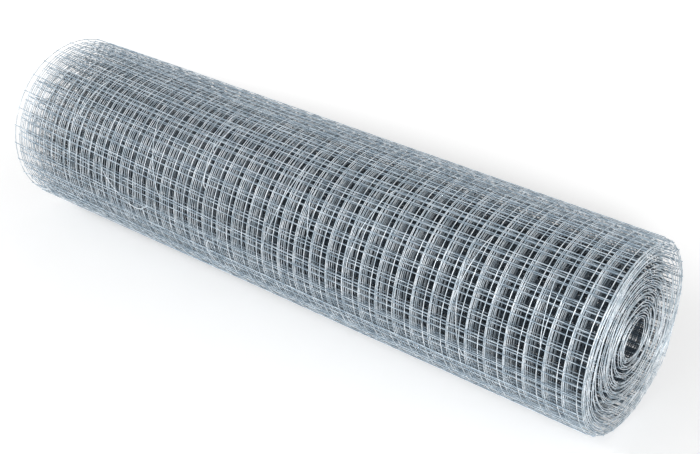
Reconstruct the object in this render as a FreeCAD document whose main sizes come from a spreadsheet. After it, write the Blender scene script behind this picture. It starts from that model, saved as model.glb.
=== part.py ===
"""Roll of galvanised plaster mesh: welded wire mesh wound on itself into a bored roll.

The whole roll is one piece of stock, so it is one turned solid. Its body runs along
X, centred on the mid-width of the inner turns. Its placement centres the whole roll
and lifts it until it lies on Z = 0.
Lengths are in millimetres.
"""

import FreeCAD
import Part
import Sketcher

import os

doc = FreeCAD.newDocument("PlasterMeshRoll")

# ---------------------------------------------------------------- dimensions

DIMENSIONS = [
    ("outer_radius", 120.0, "radius over the outermost turn"),
    ("bore_radius", 22.5, "radius of the open core inside the first turn"),
    ("mesh_width", 909.0, "width of the mesh over the cut ends of its cross wires"),
    ("turn_count", 32, "turns of mesh between the bore and the outside"),
    ("mesh_thickness", 2.1, "line wire and cross wire where they are welded"),
    ("gap_depth", 4.0, "depth to which the gaps between the turns show at an end"),
    ("last_turn_slip", 4.8, "how far the outermost turn has slipped towards -X"),
    ("cut_overrun", 2.0, "how far the cutting profiles run past the end face"),
]

sheet = doc.addObject("Spreadsheet::Sheet", "Dimensions")
for row, (alias, value, meaning) in enumerate(DIMENSIONS, start=1):
    sheet.set("A{}".format(row), alias)
    sheet.set("B{}".format(row), str(value))
    sheet.set("C{}".format(row), meaning)
    sheet.setAlias("B{}".format(row), alias)
doc.recompute()


# ------------------------------------------------------------------- helpers

def origin_plane(body, role):
    """Return the plane of the body's own origin that has this role."""
    for feature in body.Origin.OriginFeatures:
        if feature.Role == role:
            return feature
    raise RuntimeError("no origin feature called " + role)


def polygon(sketch, corners):
    """Draw a closed loop of straight edges and return the number of its first edge.

    Edge number i starts at corner i, and each edge is joined to the next.
    """
    points = [FreeCAD.Vector(x, y, 0) for x, y in corners]
    edges = []
    for start, end in zip(points, points[1:] + points[:1]):
        edges.append(Part.LineSegment(start, end))
    first = sketch.addGeometry(edges, False)[0]
    joints = []
    for i in range(len(edges)):
        following = first + (i + 1) % len(edges)
        joints.append(Sketcher.Constraint("Coincident", first + i, 2, following, 1))
    sketch.addConstraint(joints)
    return first


def drive(sketch, kind, edge, value, name, expression):
    """Hold the start of an edge at a distance from the sketch's origin.

    Args:
        sketch: the sketch the edge belongs to.
        kind: "DistanceX" along the roll or "DistanceY" outwards from its axis.
        edge: number of the edge.
        value: first value, on the side of the origin where the point lies.
        name: name of the new constraint.
        expression: what the sheet sets the distance to.
    """
    number = sketch.addConstraint(Sketcher.Constraint(kind, -1, 1, edge, 1, value))
    sketch.renameConstraint(number, name)
    sketch.setExpression("Constraints." + name, expression)


# ----------------------------------------------------------------- the solid

outer_radius = sheet.outer_radius
bore_radius = sheet.bore_radius
half_width = sheet.mesh_width / 2
last_turn_slip = sheet.last_turn_slip
turn_count = int(sheet.turn_count)
pitch = (outer_radius - bore_radius) / turn_count

half_expression = "Dimensions.mesh_width / 2"
pitch_expression = "(Dimensions.outer_radius - Dimensions.bore_radius) / Dimensions.turn_count"

roll = doc.addObject("PartDesign::Body", "MeshRoll")
roll.Label = "mesh_roll"

# Half of the section through the roll, above its axis. The outermost turn has slipped
# towards -X, so it stands back at one end and stands out at the other.
profile = roll.newObject("Sketcher::SketchObject", "RollProfile")
profile.AttachmentSupport = [(origin_plane(roll, "XY_Plane"), "")]
profile.MapMode = "FlatFace"

near_rim = half_width - last_turn_slip
near_expression = half_expression + " - Dimensions.last_turn_slip"
far_rim = -half_width - last_turn_slip
far_expression = "-({} + Dimensions.last_turn_slip)".format(half_expression)
step_radius = outer_radius - pitch
step_expression = "Dimensions.outer_radius - " + pitch_expression

# Each corner: its distance along the roll and from the axis, with their expressions.
PROFILE = [
    (-half_width, "-({})".format(half_expression), bore_radius, "Dimensions.bore_radius"),
    (half_width, half_expression, bore_radius, "Dimensions.bore_radius"),
    (half_width, half_expression, step_radius, step_expression),
    (near_rim, near_expression, step_radius, step_expression),
    (near_rim, near_expression, outer_radius, "Dimensions.outer_radius"),
    (far_rim, far_expression, outer_radius, "Dimensions.outer_radius"),
    (far_rim, far_expression, step_radius, step_expression),
    (-half_width, "-({})".format(half_expression), step_radius, step_expression),
]
first_edge = polygon(profile, [(corner[0], corner[2]) for corner in PROFILE])
for index, (along, along_expression, out, out_expression) in enumerate(PROFILE):
    drive(profile, "DistanceX", first_edge + index, along,
          "along_{}".format(index), along_expression)
    drive(profile, "DistanceY", first_edge + index, out,
          "radius_{}".format(index), out_expression)

tube = roll.newObject("PartDesign::Revolution", "Tube")
tube.Profile = profile
tube.ReferenceAxis = (profile, ["H_Axis"])
tube.Angle = 360
doc.recompute()
tube_volume = tube.Shape.Volume

# The open gaps between one turn and the next, seen as rings on the end. Each is a
# rectangle in the half section, cut gap_depth deep from the surface it opens on.
gaps = roll.newObject("Sketcher::SketchObject", "TurnGaps")
gaps.AttachmentSupport = [(origin_plane(roll, "XY_Plane"), "")]
gaps.MapMode = "FlatFace"

outside = half_width + sheet.cut_overrun
outside_expression = half_expression + " + Dimensions.cut_overrun"

for turn in range(1, turn_count):
    top = bore_radius + turn * pitch
    top_expression = "Dimensions.bore_radius + {} * {}".format(turn, pitch_expression)
    base = top - (pitch - sheet.mesh_thickness)
    base_expression = "{} - {} + Dimensions.mesh_thickness".format(top_expression, pitch_expression)
    floor = half_width - sheet.gap_depth
    floor_expression = half_expression + " - Dimensions.gap_depth"
    if turn == turn_count - 1:
        # The gap under the outermost turn starts where that turn does.
        floor = floor - last_turn_slip
        floor_expression = floor_expression + " - Dimensions.last_turn_slip"

    edge = polygon(gaps, [(floor, base), (outside, base), (outside, top), (floor, top)])
    gaps.addConstraint([
        Sketcher.Constraint("Horizontal", edge),
        Sketcher.Constraint("Vertical", edge + 1),
        Sketcher.Constraint("Horizontal", edge + 2),
        Sketcher.Constraint("Vertical", edge + 3),
    ])
    drive(gaps, "DistanceX", edge, floor, "floor_{}".format(turn), floor_expression)
    drive(gaps, "DistanceY", edge, base, "base_{}".format(turn), base_expression)
    drive(gaps, "DistanceX", edge + 2, outside, "outside_{}".format(turn), outside_expression)
    drive(gaps, "DistanceY", edge + 2, top, "top_{}".format(turn), top_expression)

rings = roll.newObject("PartDesign::Groove", "TurnRings")
rings.Profile = gaps
rings.ReferenceAxis = (gaps, ["H_Axis"])
rings.Angle = 360
doc.recompute()
rings_volume = rings.Shape.Volume

# The other end is the same, mirrored in the plane through the middle of the inner turns.
both_ends = roll.newObject("PartDesign::Mirrored", "BothEnds")
both_ends.Originals = [rings]
both_ends.MirrorPlane = (origin_plane(roll, "YZ_Plane"), [""])
roll.Tip = both_ends
doc.recompute()

# The roll lies on its outermost turn, with its whole length centred on the origin.
roll.setExpression("Placement.Base.x", "Dimensions.last_turn_slip / 2")
roll.setExpression("Placement.Base.z", "Dimensions.outer_radius")
doc.recompute()

# -------------------------------------------------------------------- checks

for item in doc.Objects:
    if "Invalid" in item.State or "Error" in item.State:
        raise RuntimeError("{} did not compute: {}".format(item.Name, item.State))
for body in [roll]:
    if body.Shape.isNull() or not body.Shape.isValid():
        raise RuntimeError(body.Label + " has no valid shape")
    if len(body.Shape.Solids) != 1:
        raise RuntimeError(body.Label + " is not a single solid")
if not rings_volume < tube_volume - 1.0:
    raise RuntimeError("the gaps between the turns cut nothing at the first end")
if not roll.Shape.Volume < rings_volume - 1.0:
    raise RuntimeError("the gaps between the turns cut nothing at the second end")

# -------------------------------------------------------------------- export

os.makedirs("parts", exist_ok=True)
for body in [roll]:
    body.Shape.exportStep("parts/" + body.Label + ".step")
    print(body.Label, round(body.Shape.Volume / 1e9, 6), "m3", body.Shape.BoundBox)
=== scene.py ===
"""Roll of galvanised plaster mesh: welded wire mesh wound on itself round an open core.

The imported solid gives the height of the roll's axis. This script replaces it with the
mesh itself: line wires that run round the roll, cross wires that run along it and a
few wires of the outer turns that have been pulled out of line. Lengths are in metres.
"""

import enum
import logging
import math
from dataclasses import dataclass, field
from typing import ClassVar, Dict, List, Sequence, Tuple, Union

import bpy
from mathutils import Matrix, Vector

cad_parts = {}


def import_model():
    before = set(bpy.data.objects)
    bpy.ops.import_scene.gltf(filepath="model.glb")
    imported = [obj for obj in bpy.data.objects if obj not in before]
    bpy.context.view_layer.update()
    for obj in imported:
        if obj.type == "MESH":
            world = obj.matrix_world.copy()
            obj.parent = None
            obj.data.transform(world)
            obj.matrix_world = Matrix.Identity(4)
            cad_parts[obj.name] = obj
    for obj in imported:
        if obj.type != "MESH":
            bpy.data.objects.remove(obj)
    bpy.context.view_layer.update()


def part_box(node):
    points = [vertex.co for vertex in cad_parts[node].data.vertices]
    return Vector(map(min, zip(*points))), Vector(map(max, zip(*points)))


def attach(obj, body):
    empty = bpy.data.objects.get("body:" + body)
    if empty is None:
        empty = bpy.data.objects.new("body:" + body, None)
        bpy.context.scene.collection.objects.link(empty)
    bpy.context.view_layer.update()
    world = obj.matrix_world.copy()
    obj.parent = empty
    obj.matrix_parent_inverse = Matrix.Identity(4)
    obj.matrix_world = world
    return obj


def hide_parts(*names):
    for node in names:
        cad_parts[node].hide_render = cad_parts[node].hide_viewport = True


Number = Union[int, float]
Vector3 = Tuple[float, float, float]
Colour = Tuple[float, float, float, float]

LOG = logging.getLogger("plaster_mesh_roll")
MM = 0.001
FULL_TURN = 2 * math.pi


# ------------------------------------------------------------------ node building


class Value:
    """One output of a node tree, with the arithmetic that adds Math nodes."""

    def __init__(self, build: "Build", socket: bpy.types.NodeSocket) -> None:
        """Keep the socket and the builder that owns its tree."""
        self.build = build
        self.socket = socket

    def _math(self, operation: str, *values: Union["Value", Number]) -> "Value":
        """Add one Math node.

        Args:
            operation: the Math node's operation.
            *values: its inputs, in order.

        Returns:
            The node's result.
        """
        return self.build.add("ShaderNodeMath", {"operation": operation}, dict(enumerate(values)))

    def __add__(self, other: Union["Value", Number]) -> "Value":
        """Return self + other."""
        return self._math("ADD", self, other)

    __radd__ = __add__

    def __sub__(self, other: Union["Value", Number]) -> "Value":
        """Return self - other."""
        return self._math("SUBTRACT", self, other)

    def __rsub__(self, other: Number) -> "Value":
        """Return other - self."""
        return self._math("SUBTRACT", other, self)

    def __mul__(self, other: Union["Value", Number]) -> "Value":
        """Return self * other."""
        return self._math("MULTIPLY", self, other)

    __rmul__ = __mul__

    def __truediv__(self, other: Union["Value", Number]) -> "Value":
        """Return self / other."""
        return self._math("DIVIDE", self, other)

    def __pow__(self, other: Union["Value", Number]) -> "Value":
        """Return self raised to other."""
        return self._math("POWER", self, other)

    def least(self, other: Union["Value", Number]) -> "Value":
        """Return the smaller of self and other."""
        return self._math("MINIMUM", self, other)

    def sine(self) -> "Value":
        """Return the sine of self, in radians."""
        return self._math("SINE", self)

    def cosine(self) -> "Value":
        """Return the cosine of self, in radians."""
        return self._math("COSINE", self)

    def root(self) -> "Value":
        """Return the square root of self."""
        return self._math("SQRT", self)

    def size(self) -> "Value":
        """Return self without its sign."""
        return self._math("ABSOLUTE", self)

    def ramp(self, low: float, high: float) -> "Value":
        """Return 0 below low and 1 above high, with a smooth rise between."""
        values = {"Value": self, "From Min": low, "From Max": high}
        return self.build.add("ShaderNodeMapRange", {"interpolation_type": "SMOOTHSTEP"}, values)


class Build:
    """Adds nodes to one tree, of geometry or of a material."""

    def __init__(self, tree: bpy.types.NodeTree) -> None:
        """Keep the tree."""
        self.tree = tree

    def add(
        self,
        kind: str,
        settings: Dict[str, object],
        values: Dict[Union[str, int], object],
        output: Union[str, int] = 0,
    ) -> Value:
        """Add a node, set it up and fill its inputs.

        Args:
            kind: the node's type.
            settings: the node's own properties, set first.
            values: what each input holds or is linked to.
            output: which of its outputs is wanted.

        Returns:
            The output asked for.
        """
        node = self.tree.nodes.new(kind)
        for name, value in settings.items():
            setattr(node, name, value)
        for key, value in values.items():
            socket = node.inputs[key]
            if isinstance(value, Value):
                self.tree.links.new(value.socket, socket)
            else:
                socket.default_value = value
        return Value(self, node.outputs[output])

    def also(self, wire: Value, output: Union[str, int]) -> Value:
        """Return another output of the node that a wire comes from."""
        return Value(self, wire.socket.node.outputs[output])

    def finish(self, kind: str, result: Value, socket: str) -> None:
        """Lead the result to a new output node of this kind."""
        out = self.tree.nodes.new(kind)
        self.tree.links.new(result.socket, out.inputs[socket])

    def vector(self, x: object, y: object, z: object) -> Value:
        """Join three values into a vector."""
        return self.add("ShaderNodeCombineXYZ", {}, {0: x, 1: y, 2: z})

    def noise(self, place: Value, scale: float, detail: float, output: int = 0) -> Value:
        """Add smooth noise and return its value, or its colour with output 1."""
        values = {"Vector": place, "Scale": scale, "Detail": detail}
        return self.add("ShaderNodeTexNoise", {}, values, output)

    def seen(self) -> Value:
        """Return 1 for what the camera sees, straight or in a shine or a glass, else 0."""
        path = self.add("ShaderNodeLightPath", {}, {}, "Is Camera Ray")
        rays = path + self.also(path, "Is Glossy Ray") + self.also(path, "Is Transmission Ray")
        return rays.least(1.0)

    def parts(self, vector: Value) -> Tuple[Value, Value, Value]:
        """Split a vector into its three values."""
        first = self.add("ShaderNodeSeparateXYZ", {}, {0: vector})
        return first, self.also(first, 1), self.also(first, 2)


Triple = Tuple[Value, Value, Value]


# ------------------------------------------------------------------ the mesh's sizes


class Lay(enum.Enum):
    """Which way a wire of the mesh runs."""

    LINE = "line"
    CROSS = "cross"


@dataclass(frozen=True)
class MeshSizes:
    """The flat mesh before it is wound.

    Attributes:
        cell: distance between line wires.
        cell_along: distance between cross wires, along the strip.
        wire: diameter of every wire.
        cells_across: cells between the two edge wires.
        weld_sink: how far one wire sinks into the other at a weld.
        stub: how far a cross wire stands out past the edge wire.
    """

    cell: float = 25.2 * MM
    cell_along: float = 25.51 * MM
    wire: float = 1.1 * MM
    cells_across: int = 36
    weld_sink: float = 0.1 * MM
    stub: float = 0.9 * MM

    def width(self) -> float:
        """Return the distance between the two edge wires."""
        return self.cell * self.cells_across

    def lift(self) -> float:
        """Return how far the middle of a cross wire lies outside the line wires'."""
        return self.wire - self.weld_sink


@dataclass(frozen=True)
class Gap:
    """A place where one turn stands away from the next.

    Attributes:
        turn: turn at which it opens.
        width: its mean width.
    """

    turn: float
    width: float


@dataclass(frozen=True)
class Winding:
    """How the mesh is wound.

    Attributes:
        turns: number of turns.
        inner: radius of the first turn's line wires.
        outer: radius of the last turn's line wires.
        end_angle: where the strip's loose end lies, counted from +Y towards +Z.
        first_cross: distance from the loose end back to the first cross wire.
        slip: how far the last turn has slipped towards -X.
        even_turns: outer turns that are evenly wound.
        gaps: where the turns under those stand apart.
        seed: changes every irregular detail.
    """

    turns: float = 32.6
    inner: float = 23.1 * MM
    outer: float = 118.4 * MM
    end_angle: float = math.radians(318.0)
    first_cross: float = 15.3 * MM
    slip: float = 4.8 * MM
    even_turns: float = 6.0
    gaps: Tuple[Gap, ...] = (
        Gap(2.77, 1.5 * MM),
        Gap(5.77, 2.0 * MM),
        Gap(8.77, 3.0 * MM),
        Gap(12.77, 1.5 * MM),
        Gap(16.77, 1.5 * MM),
        Gap(19.77, 2.5 * MM),
        Gap(23.77, 2.0 * MM),
    )
    seed: float = 3.0

    def pitch(self) -> float:
        """Return the mean gain in radius over one turn."""
        return (self.outer - self.inner) / self.turns

    def length(self) -> float:
        """Return the length of the strip."""
        return math.pi * (self.inner + self.outer) * self.turns

    def turn_at(self, length: float) -> float:
        """Return the turn reached after this length of strip."""
        reached = math.sqrt(self.inner**2 + self.pitch() * length / math.pi)
        return (reached - self.inner) / self.pitch()


@dataclass(frozen=True)
class Slack:
    """How the turns stand apart, press together, lean, bend and wander.

    Attributes:
        gap_side: angle at which the gaps between turns are widest.
        gap_sway: how much wider they are there than on average, as a share.
        gap_rise: turns over which a gap opens, each side of its own turn.
        press_side: angle at which the outer turns stand furthest apart.
        press_depth: how much further in a turn lies there, for each turn over it.
        press_turns: depths in turns between which that dies out.
        skew_start: place along the roll past which the cross wires fall behind.
        skew_rate: how they fall behind for each metre past it.
        skew_power: how sharply that grows.
        skew_angle: how far round they are behind at a rate of one.
        bend_along: waves of the bends for each metre along the roll.
        bend_round: waves of the bends for each radian round it.
        bend_size: spread of the bends along the roll, round it in radians, and outwards.
        drift_waves: waves of the drift for each turn.
        drift_seed: keeps the drift apart from the bends.
        drift_size: spread of the outer turns' drift, and what is added deep in the roll,
            both in millimetres.
        drift_turns: depths in turns between which that is added.
        slip_turns: depths in turns between which the slipped last turn ends.
    """

    gap_side: float = math.radians(200.0)
    gap_sway: float = 0.5
    gap_rise: float = 0.3
    press_side: float = math.radians(143.0)
    press_depth: float = 0.78 * MM
    press_turns: Tuple[float, float] = (3.0, 12.0)
    skew_start: float = 0.1
    skew_rate: float = 2.0
    skew_power: float = 1.4
    skew_angle: float = math.radians(8.0)
    bend_along: float = 9.0
    bend_round: float = 1.1
    bend_size: Vector3 = (3.0 * MM, 0.02, 0.5 * MM)
    drift_waves: float = 2.3
    drift_seed: float = 7.0
    drift_size: Tuple[float, float] = (5.0, 9.0)
    drift_turns: Tuple[float, float] = (5.0, 8.0)
    slip_turns: Tuple[float, float] = (0.9, 1.0)


# ------------------------------------------------------------------ the winding rule


@dataclass(frozen=True)
class WindRule:
    """The node group that carries a point of the flat mesh on to the roll.

    Attributes:
        winding: how the mesh is wound.
        slack: how its turns stray from an even spiral.
    """

    winding: Winding
    slack: Slack = Slack()

    NAME: ClassVar[str] = "wind_on_to_roll"
    POINT: ClassVar[Tuple[str, ...]] = ("Turn", "Across", "Lift")
    SIZES: ClassVar[Tuple[str, ...]] = (
        "Turns", "Inner Radius", "Outer Radius", "End Angle", "Slip", "Axis Height", "Seed",
    )

    def group(self) -> bpy.types.NodeTree:
        """Make the group, or return the one already made.

        Returns:
            A group that takes a point's turn, its place across and its lift, and gives
            its position on the roll.
        """
        found = bpy.data.node_groups.get(self.NAME)
        if found:
            return found
        tree = bpy.data.node_groups.new(self.NAME, "GeometryNodeTree")
        for name in self.POINT + self.SIZES:
            tree.interface.new_socket(name, in_out="INPUT", socket_type="NodeSocketFloat")
        tree.interface.new_socket("Position", in_out="OUTPUT", socket_type="NodeSocketVector")
        build = Build(tree)
        start = build.add("NodeGroupInput", {}, {})
        given = {name: build.also(start, name) for name in self.POINT + self.SIZES}
        build.finish("NodeGroupOutput", self._position(build, given), "Position")
        return tree

    def _position(self, build: Build, given: Dict[str, Value]) -> Value:
        """Work out where a point lies once the mesh is wound.

        Args:
            build: the group's builder.
            given: the group's inputs by name.

        Returns:
            The point's position.
        """
        turn, across, turns = given["Turn"], given["Across"], given["Turns"]
        buried = turns - turn
        angle = given["End Angle"] - buried * FULL_TURN
        inner = given["Inner Radius"]
        even = inner + (given["Outer Radius"] - inner) * turn / turns
        sideways, onward, outward = self._bends(build, given, angle)
        strayed = even + self._gaps(turn, angle) + self._press(buried, angle)
        radius = strayed + outward + given["Lift"]
        along = across + self._drift(build, given, buried) + sideways
        around = angle - self._skew(across) + onward
        height = given["Axis Height"] + radius * around.sine()
        return build.vector(along, radius * around.cosine(), height)

    def _gaps(self, turn: Value, angle: Value) -> Value:
        """Hold some turns apart and close up the ones between, most of all at the front."""
        slack = self.slack
        packed = self.winding.turns - self.winding.even_turns
        total = sum(gap.width for gap in self.winding.gaps)
        opened = (turn / packed).least(1.0) * -total
        for gap in self.winding.gaps:
            rise = turn.ramp(gap.turn - slack.gap_rise, gap.turn + slack.gap_rise)
            opened = opened + rise * gap.width
        return opened * ((angle - slack.gap_side).cosine() * slack.gap_sway + 1.0)

    def _press(self, buried: Value, angle: Value) -> Value:
        """Press the outer turns together behind the top and low at the front."""
        reach = buried * (1.0 - buried.ramp(*self.slack.press_turns))
        oval = ((angle - self.slack.press_side) * 2.0).cosine()
        return reach * oval * -self.slack.press_depth

    def _skew(self, across: Value) -> Value:
        """Let the cross wires fall behind towards the far end."""
        past = (across - self.slack.skew_start).least(0.0) * -self.slack.skew_rate
        return past**self.slack.skew_power * self.slack.skew_angle

    def _bends(self, build: Build, given: Dict[str, Value], angle: Value) -> Triple:
        """Bend the wires a little, as handling does.

        Args:
            build: the group's builder.
            given: the group's inputs by name.
            angle: how far round the point lies.

        Returns:
            What to add along the roll, round it and outwards.
        """
        slack = self.slack
        place = build.vector(
            given["Across"] * slack.bend_along, angle * slack.bend_round, given["Seed"]
        )
        sideways, onward, outward = build.parts(build.noise(place, 1.0, 1.0, 1))
        along, around, away = slack.bend_size
        return (sideways - 0.5) * along, (onward - 0.5) * around, (outward - 0.5) * away

    def _drift(self, build: Build, given: Dict[str, Value], buried: Value) -> Value:
        """Let the strip wander along the roll as it is wound.

        Args:
            build: the group's builder.
            given: the group's inputs by name.
            buried: how many turns lie over the point.

        Returns:
            What to add to the place along the roll.
        """
        slack = self.slack
        place = build.vector(
            given["Turn"] * slack.drift_waves, given["Seed"] + slack.drift_seed, 0.0
        )
        wander = build.noise(place, 1.0, 1.0)
        under = buried.ramp(*slack.slip_turns)
        outer, deeper = slack.drift_size
        spread = (buried.ramp(*slack.drift_turns) * deeper + outer) * MM
        return (wander - 0.5) * spread * under + (under - 0.5) * given["Slip"]


class WireShop:
    """Makes one piece: thickens the middle lines of its wires, dresses them and keeps them."""

    def __init__(self, name: str, sides: int, sizes: Sequence[str]) -> None:
        """Start the piece's node tree.

        Args:
            name: the piece's name.
            sides: sides of a wire's section.
            sizes: names of the tree's inputs, besides the geometry and the diameter.
        """
        self.name = name
        self.sides = sides
        self.tree = bpy.data.node_groups.new(name + "_nodes", "GeometryNodeTree")
        interface = self.tree.interface
        interface.new_socket("Geometry", in_out="INPUT", socket_type="NodeSocketGeometry")
        interface.new_socket("Geometry", in_out="OUTPUT", socket_type="NodeSocketGeometry")
        for size in ("Diameter", *sizes):
            interface.new_socket(size, in_out="INPUT", socket_type="NodeSocketFloat")
        self.build = Build(self.tree)
        self.geometry = self.build.add("NodeGroupInput", {}, {}, "Geometry")
        self.sizes = {
            size: self.build.also(self.geometry, size) for size in ("Diameter", *sizes)
        }
        self.wires = self.geometry

    def thicken(self, lines: Value) -> None:
        """Turn middle lines into wires.

        Args:
            lines: a mesh of edges.
        """
        add = self.build.add
        curves = add("GeometryNodeMeshToCurve", {}, {"Mesh": lines})
        section = add(
            "GeometryNodeCurvePrimitiveCircle",
            {"mode": "RADIUS"},
            {"Resolution": self.sides, "Radius": self.sizes["Diameter"] / 2.0},
        )
        tubes = add(
            "GeometryNodeCurveToMesh",
            {},
            {"Curve": curves, "Profile Curve": section, "Fill Caps": True},
        )
        self.wires = add(
            "GeometryNodeSetShadeSmooth", {}, {"Geometry": tubes, "Shade Smooth": True}
        )

    def dress(self, material: bpy.types.Material) -> None:
        """Dress the wires and end the tree.

        Args:
            material: what the wires are dressed in.
        """
        add = self.build.add
        real = add("GeometryNodeRealizeInstances", {}, {"Geometry": self.wires})
        dressed = add("GeometryNodeSetMaterial", {}, {"Geometry": real, "Material": material})
        self.build.finish("NodeGroupOutput", dressed, "Geometry")

    def keep(self, start: bpy.types.Mesh, values: Dict[str, float]) -> bpy.types.Object:
        """Run the tree and keep what it makes as a plain mesh.

        Args:
            start: the mesh that the tree starts from.
            values: the tree's inputs by name.

        Returns:
            An object with no modifiers, standing at the origin.
        """
        collection = bpy.context.scene.collection
        maker = bpy.data.objects.new(self.name + "_maker", start)
        collection.objects.link(maker)
        modifier = maker.modifiers.new("wires", "NODES")
        modifier.node_group = self.tree
        for item in self.tree.interface.items_tree:
            if item.in_out == "INPUT" and item.name in values:
                modifier[item.identifier] = values[item.name]
        graph = bpy.context.evaluated_depsgraph_get()
        made = bpy.data.meshes.new_from_object(maker.evaluated_get(graph), depsgraph=graph)
        made.name = self.name
        piece = bpy.data.objects.new(self.name, made)
        collection.objects.link(piece)
        bpy.data.objects.remove(maker)
        return piece


@dataclass
class MeshWires:
    """One set of the mesh's wires, laid out flat and wound on to the roll.

    Attributes:
        name: the piece's name.
        lay: which way the wires run.
        first_turn: turn at which this piece starts.
        last_turn: turn at which it ends.
        steps: straight steps of a line wire in one turn, or of a cross wire in all.
        sides: sides of a wire's section.
        mesh: the flat mesh's sizes.
        winding: how it is wound.
        axis_height: height of the roll's axis.
        SAME_PLACE: two ends of an edge that are nearer than this count as one place.
    """

    name: str
    lay: Lay
    first_turn: float
    last_turn: float
    steps: int
    sides: int
    mesh: MeshSizes
    winding: Winding
    axis_height: float

    SAME_PLACE: ClassVar[float] = 1e-4

    def build(self) -> WireShop:
        """Lay the wires out, wind them on to the roll and thicken them.

        Returns:
            The shop that holds the wires, not yet dressed.
        """
        shop = WireShop(self.name, self.sides, ("Lift",) + WindRule.SIZES)
        build = shop.build
        edges, turn, across = self._flat(build, shop.sizes)
        rule = {name: shop.sizes[name] for name in WindRule.SIZES + ("Lift",)}
        rule.update({"Turn": turn, "Across": across})
        group = {"node_tree": WindRule(self.winding).group()}
        place = build.add("GeometryNodeGroup", group, rule)
        moved = {"Geometry": edges, "Position": place}
        shop.thicken(build.add("GeometryNodeSetPosition", {}, moved))
        return shop

    def dress(self, shop: WireShop, material: bpy.types.Material) -> bpy.types.Object:
        """Dress the wires and keep them.

        Args:
            shop: what build() returned.
            material: what the wires are dressed in.

        Returns:
            The finished object.
        """
        shop.dress(material)
        winding = self.winding
        values = {
            "Diameter": self.mesh.wire,
            "Lift": self.mesh.lift() if self.lay is Lay.CROSS else 0.0,
            "Turns": winding.turns,
            "Inner Radius": winding.inner,
            "Outer Radius": winding.outer,
            "End Angle": winding.end_angle,
            "Slip": winding.slip,
            "Axis Height": self.axis_height,
            "Seed": winding.seed,
        }
        return shop.keep(bpy.data.meshes.new(self.name + "_start"), values)

    def _flat(self, build: Build, sizes: Dict[str, Value]) -> Tuple[Value, Value, Value]:
        """Lay the wires out flat, as the edges of a grid that run one way.

        Args:
            build: the tree's builder.
            sizes: the tree's inputs by name.

        Returns:
            The edges, and each point's turn and its place across.
        """
        width = self.mesh.width()
        if self.lay is Lay.LINE:
            span = self.last_turn - self.first_turn
            middle = (self.last_turn + self.first_turn) / 2
            columns, rows = int(round(span * self.steps)) + 1, self.mesh.cells_across + 1
        else:
            places = self._cross_places()
            span = places[-1] - places[0]
            middle = (places[0] + places[-1]) / 2
            columns, rows = len(places), self.steps + 1
            width = width + 2 * self.mesh.stub
        grid = build.add(
            "GeometryNodeMeshGrid",
            {},
            {"Size X": span, "Size Y": width, "Vertices X": columns, "Vertices Y": rows},
        )
        start = build.add("GeometryNodeInputMeshEdgeVertices", {}, {}, "Position 1")
        end = build.also(start, "Position 2")
        axis = 1 if self.lay is Lay.LINE else 0
        apart = (build.parts(start)[axis] - build.parts(end)[axis]).size()
        other_way = build.add(
            "FunctionNodeCompare",
            {"data_type": "FLOAT", "operation": "GREATER_THAN"},
            {0: apart, 1: self.SAME_PLACE},
        )
        edges = build.add(
            "GeometryNodeDeleteGeometry",
            {"domain": "EDGE", "mode": "EDGE_FACE"},
            {"Geometry": grid, "Selection": other_way},
        )
        x, across, _ = build.parts(build.add("GeometryNodeInputPosition", {}, {}))
        turn = x + middle
        if self.lay is Lay.CROSS:
            inner = sizes["Inner Radius"]
            pitch = (sizes["Outer Radius"] - inner) / sizes["Turns"]
            turn = ((inner * inner + pitch * turn / math.pi).root() - inner) / pitch
        return edges, turn, across

    def _cross_places(self) -> List[float]:
        """Return where this piece's cross wires lie, as lengths from the strip's start."""
        place = self.winding.length() - self.winding.first_cross
        places = []
        while place > 0:
            if self.first_turn <= self.winding.turn_at(place) <= self.last_turn:
                places.append(place)
            place -= self.mesh.cell_along
        return places[::-1]


@dataclass(frozen=True)
class Strand:
    """A wire of the outer turns that has been pulled across the others.

    Attributes:
        along: its start, middle and end along the roll, in millimetres from mid-length.
        angles: its start, middle and end round the roll, in degrees from +Y towards +Z.
    """

    along: Vector3
    angles: Vector3

    def place(self, part: float) -> Tuple[float, float]:
        """Return the place along the roll and the angle at this part of the way."""
        shares = ((1 - part) * (1 - 2 * part), 4 * part * (1 - part), part * (2 * part - 1))
        along = sum(share * value for share, value in zip(shares, self.along))
        angle = sum(share * value for share, value in zip(shares, self.angles))
        return along * MM, math.radians(angle)


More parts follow.
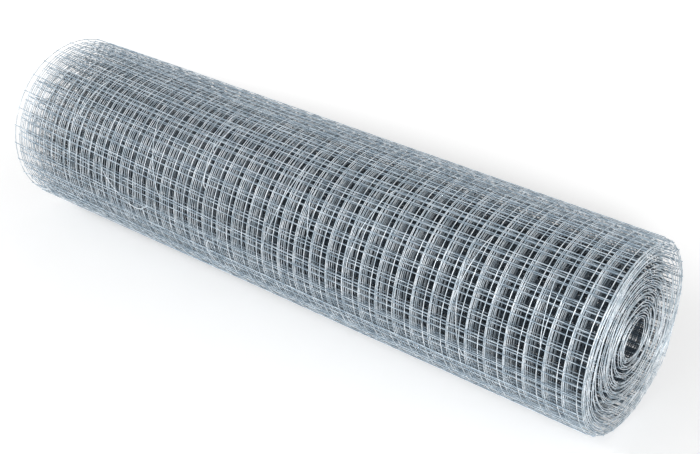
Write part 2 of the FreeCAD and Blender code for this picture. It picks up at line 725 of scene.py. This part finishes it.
@dataclass(frozen=True)
class PulledWires:
    """The wires that lie across the outer turns.

    Attributes:
        axis_height: height of the roll's axis.
        diameter: diameter of a wire.
        radius: how far their middle lines lie from the axis.
        tuck: how far their ends dip between the turns.
        tuck_power: how late along the wire that begins.
        steps: straight steps in a wire.
        sides: sides of a wire's section.
        strands: where each wire lies.
    """

    axis_height: float
    diameter: float = 1.0 * MM
    radius: float = 120.2 * MM
    tuck: float = 6.0 * MM
    tuck_power: int = 8
    steps: int = 24
    sides: int = 6
    strands: Tuple[Strand, ...] = (
        Strand((-364, -341, -350), (105, 165, 195)),
        Strand((-321, -337, -331), (100, 135, 141)),
        Strand((-289, -233, -197), (164, 185, 184)),
        Strand((-215, -193, -167), (119, 147, 175)),
        Strand((-115, -104, -95), (98, 138, 156)),
        Strand((-95, -101, -107), (109, 121, 132)),
        Strand((-90, -87, -81), (191, 200, 209)),
        Strand((36, 25, 5), (102, 146, 181)),
        Strand((58, 68, 76), (132, 146, 160)),
        Strand((159, 148, 136), (113, 135, 171)),
        Strand((281, 291, 305), (123, 157, 195)),
        Strand((301, 292, 285), (117, 143, 168)),
        Strand((391, 397, 402), (127, 147, 168)),
    )

    def build(self) -> WireShop:
        """Thicken the wires' middle lines and return the shop that holds them."""
        shop = WireShop("pulled_wires", self.sides, ())
        shop.thicken(shop.geometry)
        return shop

    def dress(self, shop: WireShop, material: bpy.types.Material) -> bpy.types.Object:
        """Dress the wires and keep them.

        Args:
            shop: what build() returned.
            material: what the wires are dressed in.

        Returns:
            The finished object.
        """
        shop.dress(material)
        return shop.keep(self._lines(), {"Diameter": self.diameter})

    def _lines(self) -> bpy.types.Mesh:
        """Return the wires' middle lines, as a mesh of edges."""
        points: List[Vector3] = []
        edges: List[Tuple[int, int]] = []
        for strand in self.strands:
            first = len(points)
            for step in range(self.steps + 1):
                part = step / self.steps
                along, angle = strand.place(part)
                radius = self.radius - self.tuck * abs(2 * part - 1) ** self.tuck_power
                height = self.axis_height + radius * math.sin(angle)
                points.append((along, radius * math.cos(angle), height))
            edges += [(first + step, first + step + 1) for step in range(self.steps)]
        lines = bpy.data.meshes.new("pulled_lines")
        lines.from_pydata(points, edges, [])
        return lines


# ------------------------------------------------------------------ finishes


@dataclass(frozen=True)
class Galvanised:
    """Bright zinc on drawn steel wire, duller in patches, and darkened deep inside the roll by
    painted shade.

    Attributes:
        name: the material's name.
        bright: colour of fresh zinc.
        dull: colour of zinc that has gone grey.
        painted_shade: painted shade, the colour mixed into wires deep in the roll in place of the
            shade that falls there.
        painted_shade_share: how much of that painted shade the deepest wires take.
        radius: the roll's outer radius, and the height of its axis.
        ends: the near and far end of the inner turns.
        deep: depths under the outermost turn between which the painted shade sets in.
        inside: depths in from an end between which the painted shade sets in.
        patch_scale: patches for each metre.
        patch_edge: noise between which a patch goes from bright to dull.
        grain_scale: grains for each metre.
        metal: how metallic the zinc is.
        gloss: least roughness, and what the grain adds.
        relief: strength and height of the grain's relief.
    """

    name: str
    bright: Colour
    dull: Colour
    painted_shade: Colour = (0.015, 0.028, 0.042, 1.0)
    painted_shade_share: float = 0.96
    radius: float = 0.120
    ends: Tuple[float, float] = (0.4569, -0.4521)
    deep: Tuple[float, float] = (5.0 * MM, 40.0 * MM)
    inside: Tuple[float, float] = (1.2 * MM, 8.0 * MM)
    patch_scale: float = 90.0
    patch_edge: Tuple[float, float] = (0.35, 0.65)
    grain_scale: float = 900.0
    metal: float = 0.3
    gloss: Tuple[float, float] = (0.36, 0.2)
    relief: Tuple[float, float] = (0.25, 0.2 * MM)

    def material(self) -> bpy.types.Material:
        """Make the wires' material."""
        made = bpy.data.materials.new(self.name)
        made.use_nodes = True
        tree = made.node_tree
        tree.nodes.clear()
        build = Build(tree)
        place = build.add("ShaderNodeTexCoord", {}, {}, "Object")
        patches = build.noise(place, self.patch_scale, 3.0)
        grain = build.noise(place, self.grain_scale, 2.0)
        mix = {"data_type": "RGBA"}
        worn = {0: patches.ramp(*self.patch_edge), 6: self.bright, 7: self.dull}
        zinc = build.add("ShaderNodeMix", mix, worn, 2)
        # Painted shade: wires deep in the roll and just in from its ends are mixed towards a dark
        # colour in place of the shade that falls there.
        shaded = {0: self._painted_shade_mask(build, place) * self.painted_shade_share, 6: zinc, 7: self.painted_shade}
        colour = build.add("ShaderNodeMix", mix, shaded, 2)
        strength, height = self.relief
        relief = {"Strength": strength, "Distance": height, "Height": grain}
        smoothest, spread = self.gloss
        shader = build.add(
            "ShaderNodeBsdfPrincipled",
            {},
            {
                "Base Color": colour,
                "Metallic": self.metal,
                "Roughness": grain * spread + smoothest,
                "Normal": build.add("ShaderNodeBump", {}, relief),
            },
        )
        build.finish("ShaderNodeOutputMaterial", shader, "Surface")
        return made

    def _painted_shade_mask(self, build: Build, place: Value) -> Value:
        """Tell how much painted shade a point takes, from how deep in the roll it lies.

        Args:
            build: the material's builder.
            place: the point's position.

        Returns:
            0, no painted shade, at the outermost turn and at the ends, and 1, full painted shade,
            deep inside.
        """
        x, y, z = build.parts(place)
        axis = z - self.radius
        depth = self.radius - (y * y + axis * axis).root()
        near, far = self.ends
        inward = (near - x).least(x - far)
        # The painted shade follows depth under the outermost turn or distance in from the nearer
        # end, whichever is less.
        return depth.ramp(*self.deep).least(inward.ramp(*self.inside))


@dataclass(frozen=True)
class Lamp:
    """A soft square lamp aimed at the middle of the roll.

    Attributes:
        name: its name.
        place: where it hangs.
        size: length of its side.
        power: its power in watts.
    """

    name: str
    place: Vector3
    size: float
    power: float

    def build(self, aim_height: float) -> None:
        """Hang the lamp and aim it at the roll's axis, at this height."""
        data = bpy.data.lights.new(self.name, "AREA")
        data.size = self.size
        data.energy = self.power
        lamp = bpy.data.objects.new(self.name, data)
        lamp.location = self.place
        x, y, z = self.place
        tilt = math.atan2(math.hypot(x, y), z - aim_height)
        lamp.rotation_euler = (tilt, 0.0, math.atan2(-y, -x) - math.pi / 2)
        bpy.context.scene.collection.objects.link(lamp)


@dataclass(frozen=True)
class Studio:
    """The plain floor, the lamps, the world and the camera.

    Attributes:
        radius: the roll's outer radius, which the camera's place is counted in.
        camera_place: the camera's place from the middle of the roll's axis, in radii.
        heading: the way the camera looks, counted from +X towards +Y.
        dip: how far it looks down.
        lens: its focal length in millimetres.
        sensor: width of its sensor in millimetres.
        floor_side: half the side of the floor.
        floor_colour: colour of the floor's paper.
        floor_glow: strength of the glow that whitens the floor.
        glow_near: share of that glow beside the roll.
        glow_fade: distances between which the glow grows to its full strength.
        glow_squeeze: how little a distance along the roll counts for, squared.
        room: strength of the light that comes evenly from all sides.
        lamps: the soft lamps.
    """

    radius: float = 0.120
    camera_place: Vector3 = (8.1783, -9.7817, 7.2865)
    heading: float = math.radians(128.363)
    dip: float = math.radians(30.362)
    lens: float = 70.174
    sensor: float = 36.0
    floor_side: float = 30.0
    floor_colour: Colour = (0.95, 0.95, 0.95, 1.0)
    floor_glow: float = 0.75
    glow_near: float = 0.28
    glow_fade: Tuple[float, float] = (0.25, 0.9)
    glow_squeeze: float = 0.35
    room: float = 0.28
    lamps: Tuple[Lamp, ...] = (
        Lamp("key_lamp", (1.9, -2.35, 1.7), 0.4, 92.0),
        Lamp("far_lamp", (-2.3, -1.5, 1.5), 0.6, 30.0),
    )

    def build(self) -> None:
        """Put everything in the scene."""
        self._camera()
        self._floor()
        for lamp in self.lamps:
            lamp.build(self.radius)
        self._world()

    def _camera(self) -> None:
        """Place the camera."""
        data = bpy.data.cameras.new("camera")
        data.lens = self.lens
        data.sensor_width = self.sensor
        data.clip_end = 100.0
        camera = bpy.data.objects.new("camera", data)
        x, y, z = (value * self.radius for value in self.camera_place)
        camera.location = (x, y, z + self.radius)
        camera.rotation_euler = (math.pi / 2 - self.dip, 0.0, self.heading - math.pi / 2)
        bpy.context.scene.collection.objects.link(camera)
        bpy.context.scene.camera = camera

    def _floor(self) -> None:
        """Lay a wide pale floor that fades to white away from the roll's shadow."""
        side = self.floor_side
        corners = [(-side, -side, 0), (side, -side, 0), (side, side, 0), (-side, side, 0)]
        data = bpy.data.meshes.new("floor")
        data.from_pydata(corners, [], [(0, 1, 2, 3)])
        floor = bpy.data.objects.new("floor", data)
        bpy.context.scene.collection.objects.link(floor)
        made = bpy.data.materials.new("floor_paper")
        made.use_nodes = True
        tree = made.node_tree
        tree.nodes.clear()
        build = Build(tree)
        add = build.add
        paper = add("ShaderNodeBsdfDiffuse", {}, {"Color": self.floor_colour})
        x, y, _ = build.parts(add("ShaderNodeTexCoord", {}, {}, "Object"))
        away = (x * x * self.glow_squeeze + y * y).root().ramp(*self.glow_fade)
        share = away * (1.0 - self.glow_near) + self.glow_near
        white = {"Color": (1.0, 1.0, 1.0, 1.0), "Strength": self.floor_glow}
        shine = add("ShaderNodeEmission", {}, white)
        nothing = add("ShaderNodeEmission", {}, {"Strength": 0.0})
        glow = add("ShaderNodeMixShader", {}, {0: share, 1: nothing, 2: shine})
        both = add("ShaderNodeAddShader", {}, {0: paper, 1: glow})
        mixed = add("ShaderNodeMixShader", {}, {0: build.seen(), 1: paper, 2: both})
        build.finish("ShaderNodeOutputMaterial", mixed, "Surface")
        data.materials.append(made)

    def _world(self) -> None:
        """Light the room evenly, and show white behind the roll."""
        world = bpy.data.worlds.new("studio")
        world.use_nodes = True
        tree = world.node_tree
        tree.nodes.clear()
        build = Build(tree)
        strength = build.seen() * (1.0 - self.room) + self.room
        light = {"Color": (1.0, 1.0, 1.0, 1.0), "Strength": strength}
        white = build.add("ShaderNodeBackground", {}, light)
        build.finish("ShaderNodeOutputWorld", white, "Surface")
        bpy.context.scene.world = world


# ------------------------------------------------------------------ the roll


@dataclass
class PlasterMeshRoll:
    """The whole roll.

    Attributes:
        axis_height: height of its axis over the floor.
        mesh: the flat mesh's sizes.
        winding: how it is wound.
        line_finish_painted_lighter: finish of the line wires and of the pulled ones, painted
            lighter than the cross wires' as a painted highlight for the light the line wires
            catch.
        cross_finish_painted_darker: finish of the cross wires, the same zinc painted darker as
            painted shade.
    """

    axis_height: float
    mesh: MeshSizes = field(default_factory=MeshSizes)
    winding: Winding = field(default_factory=Winding)
    # One zinc in a lit and a shaded copy: the line wires are painted lighter and the cross wires
    # darker, standing in for the light the line wires catch and the shade the cross wires lie in.
    line_finish_painted_lighter: Galvanised = Galvanised(
        "line_wire_zinc_painted_lighter", (0.76, 0.81, 0.85, 1.0), (0.42, 0.50, 0.56, 1.0)
    )
    cross_finish_painted_darker: Galvanised = Galvanised(
        "cross_wire_zinc_painted_darker", (0.55, 0.64, 0.71, 1.0), (0.27, 0.35, 0.425, 1.0)
    )

    def build(self) -> List[bpy.types.Object]:
        """Make every piece of the roll.

        Returns:
            The finished pieces.
        """
        zinc = {Lay.LINE: self.line_finish_painted_lighter.material(), Lay.CROSS: self.cross_finish_painted_darker.material()}
        turns = self.winding.turns
        pieces = []
        for name, lay, first, last, steps, sides in (
            ("line_wires_outer", Lay.LINE, turns - 10.0, turns, 48, 5),
            ("line_wires_middle", Lay.LINE, turns - 20.0, turns - 10.0, 40, 4),
            ("line_wires_inner", Lay.LINE, 0.0, turns - 20.0, 30, 4),
            ("cross_wires", Lay.CROSS, 0.0, turns, 20, 5),
        ):
            wires = MeshWires(
                name, lay, first, last, steps, sides, self.mesh, self.winding, self.axis_height
            )
            pieces.append(wires.dress(wires.build(), zinc[lay]))
        pulled = PulledWires(self.axis_height)
        pieces.append(pulled.dress(pulled.build(), zinc[Lay.LINE]))
        return pieces


def main() -> None:
    """Build the roll and its surroundings."""
    logging.basicConfig(level=logging.INFO, format="%(message)s")
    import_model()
    low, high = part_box("mesh_roll")
    scene = bpy.context.scene
    scene.view_settings.view_transform = "Standard"
    roll = PlasterMeshRoll(axis_height=(low[2] + high[2]) / 2)
    for piece in roll.build():
        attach(piece, "root")
        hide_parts("mesh_roll")
        LOG.info("%s: %d faces", piece.name, len(piece.data.polygons))
    Studio().build()


if __name__ == "__main__":
    main()
